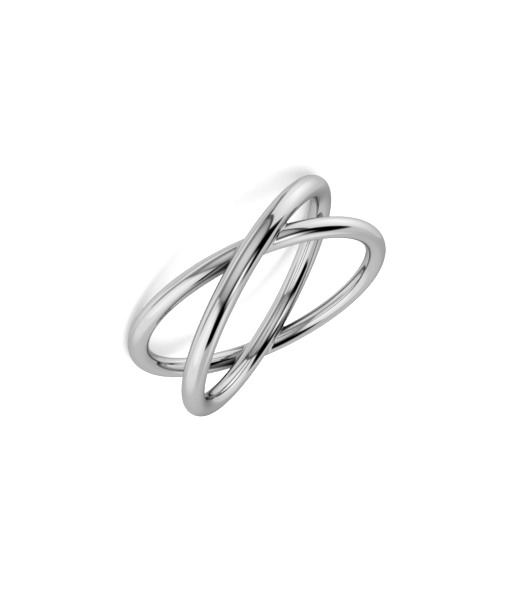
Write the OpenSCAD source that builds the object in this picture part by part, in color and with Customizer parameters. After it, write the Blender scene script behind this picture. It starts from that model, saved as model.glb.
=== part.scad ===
// Crossed wire ring for a finger.
// Two oval hoops of round wire stand at opposite tilts to the ring's middle plane. They cross at the
// front and at the back of the finger hole, where they are soldered into one piece.
// Millimetres. The ring lies on its side, as it rests by itself: the finger hole runs along Z, the
// front crossing is on -Y, and the origin is on the table, under the middle of the ring.

/* [Over hoop] */
// Centreline width, from one open end to the other
over_width = 19.05; // [18:0.05:20]
// Centreline height, from the front crossing to the back one
over_height = 19.4; // [19:0.05:19.8]
// Wire diameter
over_wire = 1.73; // [1.5:0.01:2]

/* [Under hoop] */
// Centreline width, from one open end to the other
under_width = 20.15; // [19:0.05:21]
// Centreline height, from the front crossing to the back one
under_height = 19.2; // [18.8:0.05:19.6]
// Wire diameter
under_wire = 1.6; // [1.4:0.01:1.9]

/* [Crossings] */
// Angle between each hoop and the ring's middle plane
hoop_tilt = 17.6; // [12:0.1:24]
// How far the over hoop stands in front of the under hoop
lap = 0.71; // [0.3:0.01:0.9]

/* [Hidden] */
quarter_turn = 90;
half_turn = 180;
wire_facets = 48;
hoop_facets = 240;
front_reach = over_height / 2 + lap / 2 + over_wire / 2;
back_reach = under_height / 2 + lap / 2 + under_wire / 2;
over_depth = over_width / 2 * sin(hoop_tilt) + over_wire / 2;
under_depth = under_width / 2 * sin(hoop_tilt) + under_wire / 2;
ring_centre = [0, (front_reach - back_reach) / 2, max(over_depth, under_depth)];

// A quarter of a hoop: round wire bent to an arc about the origin, centred on +X
module wire_quarter(arc_radius, wire) {
    rotate(-quarter_turn / 2)
        rotate_extrude(angle = quarter_turn, $fn = hoop_facets)
            translate([arc_radius, 0]) circle(d = wire, $fn = wire_facets);
}

// A flat oval of four arcs that run into each other on the diagonals, two for the open ends and two
// for the crossings. Its width lies along X and its height along Y.
module oval_hoop(width, height, wire) {
    arc_shift = (width - height) / 2 / (2 - sqrt(2));
    for (turn = [0, half_turn]) rotate(turn) {
        translate([arc_shift, 0]) wire_quarter(width / 2 - arc_shift, wire);
        translate([0, -arc_shift]) rotate(quarter_turn) wire_quarter(height / 2 + arc_shift, wire);
    }
}

// The hoop of thicker wire: outside at the front crossing, inside at the back one
module over_hoop() {
    translate([0, -lap / 2, 0]) rotate([0, -hoop_tilt, 0]) oval_hoop(over_width, over_height, over_wire);
}

// The hoop of thinner wire: inside at the front crossing, outside at the back one
module under_hoop() {
    translate([0, lap / 2, 0]) rotate([0, hoop_tilt, 0]) oval_hoop(under_width, under_height, under_wire);
}

module crossed_band() {
    color("silver") translate(ring_centre) union() {
        over_hoop();
        under_hoop();
    }
}

crossed_band();
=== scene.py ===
# %% [markdown]
# # A polished crossover ring
# This lesson dresses a finger ring of two crossed wire hoops. The construction model gives the ring as
# one rough-meshed solid. Polished metal shows every facet in its reflections, so the ring is modelled
# again from the same sizes with a fine, even mesh, and then polished, lit and photographed.
# All lengths are in metres, and the ring lies on its side on the table: +Z is up, along the finger hole,
# and the front crossing is on -Y.

# %% Load the construction model
import math
from collections import namedtuple

import bmesh
import bpy
import numpy as np
from mathutils import Euler, Matrix, Vector


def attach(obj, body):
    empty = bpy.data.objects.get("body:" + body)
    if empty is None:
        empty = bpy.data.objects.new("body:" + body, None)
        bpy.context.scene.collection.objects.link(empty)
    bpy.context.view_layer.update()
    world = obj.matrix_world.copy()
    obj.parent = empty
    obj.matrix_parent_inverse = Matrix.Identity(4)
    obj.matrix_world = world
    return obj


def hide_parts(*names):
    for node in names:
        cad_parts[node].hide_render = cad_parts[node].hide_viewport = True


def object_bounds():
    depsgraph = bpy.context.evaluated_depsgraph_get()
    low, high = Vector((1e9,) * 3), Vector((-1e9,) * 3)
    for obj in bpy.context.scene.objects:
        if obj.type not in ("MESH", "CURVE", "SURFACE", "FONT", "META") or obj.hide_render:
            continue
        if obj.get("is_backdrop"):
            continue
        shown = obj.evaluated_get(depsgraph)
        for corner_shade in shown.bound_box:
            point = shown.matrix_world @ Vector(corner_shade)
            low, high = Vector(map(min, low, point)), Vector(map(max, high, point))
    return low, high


MM = 0.001
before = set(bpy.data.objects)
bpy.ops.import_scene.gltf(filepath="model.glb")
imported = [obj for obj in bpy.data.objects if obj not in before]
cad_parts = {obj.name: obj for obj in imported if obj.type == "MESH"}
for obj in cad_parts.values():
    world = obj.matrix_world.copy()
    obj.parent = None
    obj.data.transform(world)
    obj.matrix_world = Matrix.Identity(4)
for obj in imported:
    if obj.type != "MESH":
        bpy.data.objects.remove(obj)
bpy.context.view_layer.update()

# %% [markdown]
# ## The camera
# The ring is seen from a hand's width away, a little to the right of its front crossing and a little
# above the table. The camera is also rolled by more than a quarter turn, because the ring was shown
# standing up and here it lies on its side. The view of the ring itself is the same.
# A camera's own axes are -Z forwards and +Y up, so it is turned up from looking down, then round the
# table, and the roll comes first, about its own line of sight.

# %% Place the camera
CAMERA_AZIMUTH = math.radians(16.6)
CAMERA_ELEVATION = math.radians(18.08)
CAMERA_ROLL = math.radians(135.96)
CAMERA_DISTANCE = 93.34 * MM
AIM_POINT = Vector((0.35, 0.36, 4.35)) * MM
LENS_MM = 70.15
SENSOR_MM = 36.0
CLIP_NEAR = 1 * MM
CLIP_FAR = 10.0

camera = bpy.data.objects.new("camera", bpy.data.cameras.new("camera"))
camera.data.lens = LENS_MM
camera.data.sensor_width = SENSOR_MM
camera.data.clip_start = CLIP_NEAR
camera.data.clip_end = CLIP_FAR
turn = Euler((math.pi / 2 - CAMERA_ELEVATION, 0, CAMERA_AZIMUTH)).to_matrix().to_4x4()
camera.matrix_world = (Matrix.Translation(AIM_POINT) @ turn
                       @ Matrix.Rotation(CAMERA_ROLL, 4, "Z")
                       @ Matrix.Translation((0, 0, CAMERA_DISTANCE)))
bpy.context.scene.collection.objects.link(camera)
bpy.context.scene.camera = camera
print("camera at", [round(c / MM, 1) for c in camera.matrix_world.translation], "mm")

# %% [markdown]
# ## The table
# A plain white table, far larger than the ring, so that its edge is never seen near it. It is marked as
# stage, because it isn't part of the object. It is left out of reflections, so that the metal shows the
# lower half of the studio, which comes next.

# %% Lay the table
TABLE_SIZE = 6.0
TABLE_WHITE = 0.9
TABLE_ROUGHNESS = 0.7


def plain_material(name, colour, roughness):
    """A material with one Principled shader, and that shader."""
    material = bpy.data.materials.new(name)
    material.use_nodes = True
    shader = material.node_tree.nodes["Principled BSDF"]
    shader.inputs["Base Color"].default_value = (colour, colour, colour, 1)
    shader.inputs["Roughness"].default_value = roughness
    return material, shader


table_mesh = bmesh.new()
bmesh.ops.create_grid(table_mesh, x_segments=1, y_segments=1, size=TABLE_SIZE / 2)
table_data = bpy.data.meshes.new("table")
table_mesh.to_mesh(table_data)
table_mesh.free()
table = bpy.data.objects.new("table", table_data)
bpy.context.scene.collection.objects.link(table)
table_white, _ = plain_material("table white", TABLE_WHITE, TABLE_ROUGHNESS)
table.data.materials.append(table_white)
table.visible_glossy = False
table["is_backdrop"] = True

# %% [markdown]
# ## The studio
# Polished steel has almost no colour of its own: what is seen on it is the room. A jewellery photographer
# hangs a white softbox on each side, which gives the broad pale bands, and black cards above them, which
# give the crisp dark streaks that make the metal look like metal. The rims of the wire reflect what stands
# straight behind the ring, so a few grey panels there draw its outline. A grey room fills the rest.
# All of it is painted on the world, as flat panels seen from the ring. That lights the ring softly from
# every side, and no lamp or card can stand in the way of another view.
# Painting by formula takes many small nodes, so a few short helpers come first. Each makes one kind of
# node, and takes numbers and other nodes' sockets alike.

# %% Write short helpers for nodes


def feed(tree, value, socket):
    """Give a node's input its value, which is a number or another node's socket."""
    if hasattr(value, "links"):
        tree.links.new(value, socket)
    else:
        socket.default_value = value


def math_node(tree, operation, *values):
    """A Math node on numbers or sockets. Gives its output."""
    node = tree.nodes.new("ShaderNodeMath")
    node.operation = operation
    for value, socket in zip(values, node.inputs):
        feed(tree, value, socket)
    return node.outputs[0]


def map_range(tree, value, low, high, to_low, to_high):
    """A smooth Map Range node on numbers or sockets. Gives its output."""
    node = tree.nodes.new("ShaderNodeMapRange")
    node.interpolation_type = "SMOOTHSTEP"
    feed(tree, value, node.inputs["Value"])
    feed(tree, low, node.inputs["From Min"])
    feed(tree, high, node.inputs["From Max"])
    feed(tree, to_low, node.inputs["To Min"])
    feed(tree, to_high, node.inputs["To Max"])
    return node.outputs["Result"]


def mix(tree, factor, first, second):
    """A Mix node on numbers or sockets. Gives its output."""
    node = tree.nodes.new("ShaderNodeMix")
    feed(tree, factor, node.inputs["Factor"])
    feed(tree, first, node.inputs["A"])
    feed(tree, second, node.inputs["B"])
    return node.outputs["Result"]


def new_group(name, inputs, outputs):
    """An empty shader node group. Inputs and outputs are given by name, with the kind of each socket."""
    tree = bpy.data.node_groups.new(name, "ShaderNodeTree")
    for way, sockets in (("INPUT", inputs), ("OUTPUT", outputs)):
        for label, kind in sockets.items():
            tree.interface.new_socket(label, in_out=way, socket_type="NodeSocket" + kind)
    return tree, tree.nodes.new("NodeGroupInput").outputs, tree.nodes.new("NodeGroupOutput").inputs


def place_group(tree, group, label, values):
    """A node of a group, with a label and with its inputs on numbers or sockets. Gives its outputs."""
    node = tree.nodes.new("ShaderNodeGroup")
    node.node_tree = group
    node.label = label
    for name, value in values.items():
        feed(tree, value, node.inputs[name])
    return node.outputs


# %% [markdown]
# ## One panel
# One node group paints one panel: a mask that is 1 on the panel and fades out at its edges. It turns the
# direction into the panel's own axes, divides by the depth, and compares the result with the panel's half
# sizes, which are given for a panel one unit away.

# %% Make the panel group
DEPTH_FLOOR = 0.05


def fade(tree, offset, half_size, softness):
    """1 where the offset is less than the half size, fading to 0 over the softness."""
    half_fade = math_node(tree, "MULTIPLY", softness, 0.5)
    inner_edge = math_node(tree, "SUBTRACT", half_size, half_fade)
    outer_edge = math_node(tree, "ADD", half_size, half_fade)
    return map_range(tree, math_node(tree, "ABSOLUTE", offset), inner_edge, outer_edge, 1.0, 0.0)


panel_group, given, result = new_group(
    "studio panel",
    {"Direction": "Vector", "Turn": "Vector", "Half Width": "Float", "Half Height": "Float",
     "Side Fade": "Float", "Top Fade": "Float"},
    {"Mask": "Float"})
own_axes = panel_group.nodes.new("ShaderNodeVectorRotate")
own_axes.rotation_type = "EULER_XYZ"
own_axes.invert = True
split = panel_group.nodes.new("ShaderNodeSeparateXYZ")
feed(panel_group, given["Direction"], own_axes.inputs["Vector"])
feed(panel_group, given["Turn"], own_axes.inputs["Rotation"])
feed(panel_group, own_axes.outputs["Vector"], split.inputs["Vector"])
depth = math_node(panel_group, "MAXIMUM", split.outputs["Y"], DEPTH_FLOOR)
across = math_node(panel_group, "DIVIDE", split.outputs["X"], depth)
upwards = math_node(panel_group, "DIVIDE", split.outputs["Z"], depth)
in_front = math_node(panel_group, "GREATER_THAN", split.outputs["Y"], DEPTH_FLOOR)
wide = fade(panel_group, across, given["Half Width"], given["Side Fade"])
high = fade(panel_group, upwards, given["Half Height"], given["Top Fade"])
both = math_node(panel_group, "MULTIPLY", wide, high)
feed(panel_group, math_node(panel_group, "MULTIPLY", both, in_front), result["Mask"])

# %% [markdown]
# ## Hanging the panels
# Each panel has an azimuth in degrees, 0 behind the ring and 90 on its right, an elevation above the
# table, a roll, its half sizes, how softly its edges fade, and its brightness. Gaps, edges and frames are
# darker strips beside or across the pale panels, a lamp is the bright middle of a softbox, and a window
# is a small panel brighter than what is round it. Later panels hang in front of earlier ones.
# The camera itself sees plain white behind the table instead of the room.

# %% Paint the studio on the world
STUDIO_LEVEL = 1.32
ROOM_GREY = 0.80
BACKDROP_WHITE = 1.0
Panel = namedtuple("Panel", "azimuth elevation roll half_width half_height side_fade top_fade light")
PANELS = {
    "back right panel": Panel(12, 2, 0, 0.35, 0.35, 0.40, 0.40, 0.85),
    "back left panel": Panel(-31, 31, 0, 0.26, 0.45, 0.40, 0.40, 0.68),
    "back upper panel": Panel(42, 60, 0, 0.35, 0.30, 0.40, 0.40, 0.68),
    "back panel": Panel(-18, -14, 0, 0.34, 0.36, 0.40, 0.40, 0.45),
    "left black card": Panel(-130, 45, 25, 0.63, 0.40, 0.20, 0.30, 0.00),
    "right black card": Panel(135, 39, -10, 0.63, 1.00, 0.20, 0.30, 0.00),
    "left gap": Panel(-120, -25, 0, 0.45, 1.00, 0.30, 0.30, 0.00),
    "front frame": Panel(177, -5, -15, 0.80, 1.00, 0.10, 0.30, 0.20),
    "front panel": Panel(180, 4, -20, 0.60, 0.60, 1.20, 0.70, 0.94),
    "low panel": Panel(90, -80, -15, 0.80, 0.70, 1.20, 1.20, 1.20),
    "right low gap": Panel(120, -33, 0, 0.48, 0.12, 0.20, 0.15, 0.38),
    "left low gap": Panel(-100, -43, -10, 0.70, 0.10, 0.20, 0.15, 0.50),
    "left edge": Panel(-137, -3, 0, 0.08, 0.60, 0.10, 0.20, 0.10),
    "left softbox": Panel(-89, -8, 0, 1.04, 0.86, 0.10, 0.10, 0.95),
    "right softbox": Panel(88, 10, 0, 0.90, 0.77, 0.80, 0.10, 1.06),
    "top window": Panel(-160, 62, -40, 0.25, 0.15, 0.35, 0.30, 1.60),
    "left lamp": Panel(-95, -10, 0, 0.40, 0.55, 1.20, 1.20, 1.50),
    "right lamp": Panel(107, 12, 0, 0.55, 0.30, 0.25, 1.20, 1.38),
    "left lamp frame": Panel(-90, -27, 0, 0.50, 0.05, 0.20, 0.08, 1.05),
    "back window": Panel(-22, 69, 20, 0.15, 0.38, 0.30, 0.10, 1.14),
    "floor": Panel(0, -75, 90, 0.80, 0.60, 0.10, 0.10, 0.92),
    "floor gap": Panel(180, -78, 0, 0.60, 0.20, 0.10, 0.10, 0.75),
}

world = bpy.data.worlds.new("studio")
world.use_nodes = True
bpy.context.scene.world = world
tree = world.node_tree
tree.nodes.clear()
direction = tree.nodes.new("ShaderNodeTexCoord").outputs["Generated"]
room = ROOM_GREY
for name, panel in PANELS.items():
    own = (Matrix.Rotation(-math.radians(panel.azimuth), 3, "Z")
           @ Matrix.Rotation(math.radians(panel.elevation), 3, "X")
           @ Matrix.Rotation(-math.radians(panel.roll), 3, "Y"))
    hung = place_group(tree, panel_group, name, {
        "Direction": direction, "Turn": own.to_euler("XYZ"),
        "Half Width": panel.half_width, "Half Height": panel.half_height,
        "Side Fade": panel.side_fade, "Top Fade": panel.top_fade})
    room = mix(tree, hung["Mask"], room, panel.light)
camera_ray = tree.nodes.new("ShaderNodeLightPath").outputs["Is Camera Ray"]
background = tree.nodes.new("ShaderNodeBackground")
feed(tree, mix(tree, camera_ray, room, BACKDROP_WHITE), background.inputs["Color"])
feed(tree, STUDIO_LEVEL, background.inputs["Strength"])
surroundings = tree.nodes.new("ShaderNodeOutputWorld")
feed(tree, background.outputs["Background"], surroundings.inputs["Surface"])
print("panels in the studio:", len(PANELS))

# %% [markdown]
# ## The overhead light
# The room alone leaves the table grey. A broad overhead light brings it up to white and gives the ring a
# soft shadow. It leans so that the shadow falls away from the camera. It is left out of reflections,
# because it would show in the metal as one more panel.

# %% Hang the overhead light
OVERHEAD_STRENGTH = 3.0
OVERHEAD_SPREAD = math.radians(120)
OVERHEAD_LEAN = math.radians(35)
overhead = bpy.data.objects.new("overhead", bpy.data.lights.new("overhead", "SUN"))
overhead.data.energy = OVERHEAD_STRENGTH
overhead.data.angle = OVERHEAD_SPREAD
overhead.rotation_euler = (OVERHEAD_LEAN, 0, 0)
overhead.visible_glossy = False
bpy.context.scene.collection.objects.link(overhead)
bpy.context.scene.view_settings.view_transform = "Standard"

# %% [markdown]
# ## One hoop of wire
# A goldsmith bends each hoop from round wire over a mandrel, a little wider than high or the other way
# round. Such an oval is four arcs that run into each other on the diagonals: two for the open ends and
# two for the crossings. So one circle, the wire's section, is spun four times by a quarter turn, each
# time about the centre of the next arc. That keeps the wire exactly round, where a scaled torus would
# squash it.

# %% Spin a hoop
WIRE_SIDES = 80
QUARTER_STEPS = 84
MERGE_DISTANCE = 0.002 * MM
HOOPS = {
    "over hoop": dict(width=19.05 * MM, height=19.4 * MM, wire=1.73 * MM, side=-1),
    "under hoop": dict(width=20.15 * MM, height=19.2 * MM, wire=1.6 * MM, side=1),
}
HOOP_TILT = math.radians(17.6)
LAP = 0.71 * MM
QUARTER = math.pi / 2


def arc_centres(hoop):
    """The centres of the four arcs, from the one at +X round to the one at -Y."""
    shift = (hoop["width"] - hoop["height"]) / 2 / (2 - math.sqrt(2))
    return [Vector((shift, 0, 0)), Vector((0, -shift, 0)), Vector((-shift, 0, 0)), Vector((0, shift, 0))]


def spin_hoop(hoop):
    """A bmesh of one flat hoop round the origin, its width along X and its height along Y."""
    bm = bmesh.new()
    centres = arc_centres(hoop)
    end_radius = hoop["width"] / 2 - centres[0].x
    start = (Matrix.Translation(centres[0]) @ Matrix.Rotation(-QUARTER / 2, 4, "Z")
             @ Matrix.Translation((end_radius, 0, 0)) @ Matrix.Rotation(QUARTER, 4, "X"))
    bmesh.ops.create_circle(bm, segments=WIRE_SIDES, radius=hoop["wire"] / 2, matrix=start)
    ring = bm.verts[:] + bm.edges[:]
    for centre in centres:
        spun = bmesh.ops.spin(bm, geom=ring, cent=centre, axis=(0, 0, 1), angle=QUARTER, steps=QUARTER_STEPS)
        ring = spun["geom_last"]
    bmesh.ops.remove_doubles(bm, verts=bm.verts[:], dist=MERGE_DISTANCE)
    bmesh.ops.recalc_face_normals(bm, faces=bm.faces[:])
    return bm


# %% [markdown]
# ## Setting the hoops
# Each hoop leans the other way about the line from crossing to crossing, and the over hoop stands a
# little in front of the under hoop: outside it at the front crossing, and inside it at the back.
# The ring rests on the lower of the two low ends, so its middle stands that far above the table.

# %% Lean, lap and lift the hoops


def reach(hoop):
    """How far a hoop reaches along the crossing line from the ring's middle, at its own outer side."""
    return hoop["height"] / 2 + LAP / 2 + hoop["wire"] / 2


def low_end(hoop):
    """How far a leaning hoop's end hangs below the ring's middle."""
    return hoop["width"] / 2 * math.sin(HOOP_TILT) + hoop["wire"] / 2


over, under = HOOPS["over hoop"], HOOPS["under hoop"]
ring_middle = Vector((0, (reach(over) - reach(under)) / 2, max(low_end(over), low_end(under))))
hoop_objects = []
for name, hoop in HOOPS.items():
    hoop["lean"] = Matrix.Rotation(hoop["side"] * HOOP_TILT, 3, "Y")
    hoop["middle"] = ring_middle + Vector((0, hoop["side"] * LAP / 2, 0))
    bm = spin_hoop(hoop)
    bm.transform(Matrix.Translation(hoop["middle"]) @ hoop["lean"].to_4x4())
    data = bpy.data.meshes.new(name)
    bm.to_mesh(data)
    bm.free()
    piece = bpy.data.objects.new(name, data)
    bpy.context.scene.collection.objects.link(piece)
    hoop_objects.append(piece)
    print(name, "has", len(data.polygons), "faces")

# %% [markdown]
# ## Joining the hoops
# The hoops are soldered where they cross, so they are one piece of metal: a Boolean union fuses them and
# takes away what would lie inside.

# %% Fuse the hoops
band, tool = hoop_objects
union = band.modifiers.new("join", "BOOLEAN")
union.operation = "UNION"
union.solver = "EXACT"
union.object = tool
bpy.context.view_layer.update()
fused = bpy.data.meshes.new_from_object(band.evaluated_get(bpy.context.evaluated_depsgraph_get()))
band.modifiers.clear()
band.data = fused
band.name = "polished_band"
fused.name = "polished_band"
bpy.data.objects.remove(tool)
print("fused:", len(fused.polygons), "faces")

# %% [markdown]
# ## How far it is to a wire
# Round wire is every point at one distance from its bent axis, so the distance to a hoop is exact and
# short to work out: turn the point into the hoop's own plane, find which of the four arcs it belongs to,
# and take the distance to that arc less the wire's radius. The same sum gives the way straight out of the
# wire. Numpy does it for all the vertices at once.

# %% Measure from the wires


def from_wire(hoop, points):
    """Each point's distance from a hoop's surface, way out of the wire, and place in the hoop's axes."""
    lean = np.array(hoop["lean"])
    flat = (points - np.array(hoop["middle"])) @ lean
    x, y, z = flat.T
    shift = arc_centres(hoop)[0].x
    at_end = np.abs(x) - np.abs(y) >= shift
    radius = np.where(at_end, hoop["width"] / 2 - shift, hoop["height"] / 2 + shift)
    spoke = np.column_stack([x - np.where(at_end, np.sign(x) * shift, 0),
                             y + np.where(at_end, 0, np.sign(y) * shift)])
    length = np.linalg.norm(spoke, axis=1)
    outward = np.column_stack([spoke * (1 - radius / length)[:, None], z])
    depth = np.linalg.norm(outward, axis=1)
    return depth - hoop["wire"] / 2, outward / depth[:, None] @ lean.T, (flat, length - radius)


# %% [markdown]
# ## The solder fillets
# Solder runs into the corner between two wires and sets there as a small hollow fillet. It is hardly
# wider than a hair, but every reflection that reaches the seam bends along it. Near the seam the two
# distances are blended smoothly, and the vertices move onto the blended surface. The blend also says how
# much of each wire's direction the surface has, and so gives the exact normals for all of the ring.
# The faces there are cut finer first, so that the fillet is round in the mesh and not only in its shading.

# %% Run solder into the seams
FILLET = 0.18 * MM
FILLET_STEPS = 6
FINE_CUTS = 2
LONGEST_EDGE = 0.05 * MM


def blend_wires(points):
    """The distance to the soldered ring, the way out of it, and the over hoop's share in that."""
    over_gap, over_out, _ = from_wire(over, points)
    under_gap, under_out, _ = from_wire(under, points)
    share = np.clip(0.5 + 0.5 * (under_gap - over_gap) / FILLET, 0, 1)
    gap = share * over_gap + (1 - share) * under_gap - FILLET * share * (1 - share)
    return gap, share[:, None] * over_out + (1 - share)[:, None] * under_out, share


def vertex_places(mesh):
    """The mesh's vertices as an array of points."""
    places = np.empty(len(mesh.vertices) * 3)
    mesh.vertices.foreach_get("co", places)
    return places.reshape(-1, 3)


bm = bmesh.new()
bm.from_mesh(fused)
for _ in range(FINE_CUTS):
    bm.verts.index_update()
    share = blend_wires(np.array([vert.co for vert in bm.verts]))[2]
    soldered = (share > 0) & (share < 1)
    near = [edge for edge in bm.edges if any(soldered[vert.index] for vert in edge.verts)]
    coarse = [edge for edge in near if edge.calc_length() > LONGEST_EDGE]
    bmesh.ops.subdivide_edges(bm, edges=coarse, cuts=1, use_grid_fill=True)
bmesh.ops.triangulate(bm, faces=[face for face in bm.faces if len(face.verts) > 4])
open_edges = sum(1 for edge in bm.edges if len(edge.link_faces) != 2)
bm.to_mesh(fused)
bm.free()

places = vertex_places(fused)
for _ in range(FILLET_STEPS):
    gap, outward, share = blend_wires(places)
    places -= outward * (gap / (outward ** 2).sum(axis=1))[:, None]
fused.vertices.foreach_set("co", places.ravel())
gap, outward, share = blend_wires(places)
fused.shade_smooth()
fused.normals_split_custom_set_from_vertices(outward / np.linalg.norm(outward, axis=1)[:, None])
fused.update()
print("soldered:", len(fused.polygons), "faces,", open_edges, "open edges, furthest off",
      round(float(np.abs(gap).max()) / MM, 5), "mm")

# %% [markdown]
# ## Marks for the finish
# The last strokes of the polishing wheel follow the wire. So that a pattern can follow it too, every
# vertex keeps its place round the wire's section, as a point on a circle, and its place along the hoop,
# as the cosine of its angle, so neither jumps where the angle starts again. A second mark says how much
# a vertex lies in the solder.

# %% Mark the wire's direction and the solder
ALONG_REACH = 0.6 * MM
BETWEEN_HOOPS = 5 * MM


def grain_places(hoop, points):
    """Where each point lies on its wire: two numbers round the section, and a slow one along the hoop."""
    flat, out = from_wire(hoop, points)[2]
    section = np.arctan2(flat[:, 2], out)
    turn = np.arctan2(flat[:, 1], flat[:, 0])
    radius = hoop["wire"] / 2
    return np.column_stack([radius * np.cos(section), radius * np.sin(section), ALONG_REACH * np.cos(turn)])


shares = share[:, None]
grain = shares * grain_places(over, places) + (1 - shares) * (grain_places(under, places) + BETWEEN_HOOPS)
fused.attributes.new("grain", "FLOAT_VECTOR", "POINT").data.foreach_set("vector", grain.ravel())
fused.attributes.new("solder", "FLOAT", "POINT").data.foreach_set("value", 4 * share * (1 - share))
print("vertices in the solder:", int(((share > 0) & (share < 1)).sum()))

# %% [markdown]
# ## Polishing marks
# Even a mirror polish keeps hairlines too fine to see one by one, and cloudy patches where it was wiped.
# The hairlines are a noise stretched along the wire, and go into a Bump node. The patches are a coarse
# noise that moves the roughness between two values.

# %% Make the polishing group
HAIRLINE_DETAIL = 3
PATCH_DETAIL = 2
CLEAN_BELOW = 0.35
WIPED_ABOVE = 0.65


def noise(tree, place, size, detail):
    """A noise texture whose spots are about one size across, in metres."""
    node = tree.nodes.new("ShaderNodeTexNoise")
    feed(tree, place, node.inputs["Vector"])
    feed(tree, math_node(tree, "DIVIDE", 1.0, size), node.inputs["Scale"])
    feed(tree, detail, node.inputs["Detail"])
    return node.outputs["Fac"]


polish_group, given, result = new_group(
    "polishing marks",
    {"Grain": "Vector", "Place": "Vector", "Hairline Width": "Float", "Patch Size": "Float",
     "Clean Roughness": "Float", "Wiped Roughness": "Float"},
    {"Roughness": "Float", "Height": "Float"})
scratches = noise(polish_group, given["Grain"], given["Hairline Width"], HAIRLINE_DETAIL)
patches = noise(polish_group, given["Place"], given["Patch Size"], PATCH_DETAIL)
roughness = map_range(polish_group, patches, CLEAN_BELOW, WIPED_ABOVE,
                      given["Clean Roughness"], given["Wiped Roughness"])
feed(polish_group, scratches, result["Height"])
feed(polish_group, roughness, result["Roughness"])

# %% [markdown]
# ## Painted shade in the corners
# Where the wires come close together, the base colour is darkened. This is painted shade, standing in for
# the darker reflections the wires throw on each other. The Ambient Occlusion node finds such corners: it is
# 1 in the open and less where metal is close by. The solder itself is a little greyer than the steel.

# %% Make the corner group
CORNER_SAMPLES = 8
SHUT_IN = 0.30
IN_THE_OPEN = 0.95

shade_group, given, result = new_group(
    "painted shade in corners",
    {"Reach": "Float", "Solder": "Float", "Metal Grey": "Float", "Solder Grey": "Float",
     "Shade Grey": "Float"},
    {"Grey": "Float"})
corners = shade_group.nodes.new("ShaderNodeAmbientOcclusion")
corners.only_local = True
corners.samples = CORNER_SAMPLES
feed(shade_group, given["Reach"], corners.inputs["Distance"])
bare = map_range(shade_group, given["Solder"], 0.0, 1.0, given["Metal Grey"], given["Solder Grey"])
# painted shade: the grey darkens towards the shade grey where the Ambient Occlusion node finds metal close
# by
grey = map_range(shade_group, corners.outputs["AO"], SHUT_IN, IN_THE_OPEN, given["Shade Grey"], bare)
feed(shade_group, grey, result["Grey"])

# %% [markdown]
# ## Polished steel
# The shader is fully metallic. Polished steel is not as bright at its rims as a perfect mirror, which the
# specular tint gives, and it is the same all over, so it is set on the shader's own socket. The colour comes
# from the corner group, which paints shade into the corners, and the roughness and the hairlines come from
# the polishing group.

# %% Polish the band
STEEL_GREY = 0.50
SOLDER_GREY = 0.45
SHADE_GREY = 0.10
RIM_TINT = 0.62
CORNER_REACH = 3.0 * MM
HAIRLINE_WIDTH = 0.05 * MM
HAIRLINE_DEPTH = 0.0002 * MM
PATCH_SIZE = 2.5 * MM
CLEAN_ROUGHNESS = 0.02
WIPED_ROUGHNESS = 0.05


def attribute(tree, name, output):
    """A mesh attribute as a socket."""
    node = tree.nodes.new("ShaderNodeAttribute")
    node.attribute_name = name
    return node.outputs[output]


steel, shader = plain_material("polished steel", STEEL_GREY, CLEAN_ROUGHNESS)
shader.inputs["Metallic"].default_value = 1.0
shader.inputs["Specular Tint"].default_value = (RIM_TINT, RIM_TINT, RIM_TINT, 1)
tree = steel.node_tree
# the base colour carries painted shade in the corners between the wires
corner_shade = place_group(tree, shade_group, "corner shade", {
    "Reach": CORNER_REACH, "Solder": attribute(tree, "solder", "Fac"), "Metal Grey": STEEL_GREY,
    "Solder Grey": SOLDER_GREY, "Shade Grey": SHADE_GREY})
polish = place_group(tree, polish_group, "polish", {
    "Grain": attribute(tree, "grain", "Vector"),
    "Place": tree.nodes.new("ShaderNodeTexCoord").outputs["Object"],
    "Hairline Width": HAIRLINE_WIDTH, "Patch Size": PATCH_SIZE,
    "Clean Roughness": CLEAN_ROUGHNESS, "Wiped Roughness": WIPED_ROUGHNESS})
hairlines = tree.nodes.new("ShaderNodeBump")
hairlines.inputs["Distance"].default_value = HAIRLINE_DEPTH
feed(tree, polish["Height"], hairlines.inputs["Height"])
feed(tree, corner_shade["Grey"], shader.inputs["Base Color"])
feed(tree, polish["Roughness"], shader.inputs["Roughness"])
feed(tree, hairlines.outputs["Normal"], shader.inputs["Normal"])
band.data.materials.clear()
band.data.materials.append(steel)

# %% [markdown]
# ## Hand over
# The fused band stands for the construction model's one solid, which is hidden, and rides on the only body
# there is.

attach(band, "root")
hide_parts("crossed_band")

low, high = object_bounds()
print("finished ring:", [round(side / MM, 2) for side in high - low], "mm")
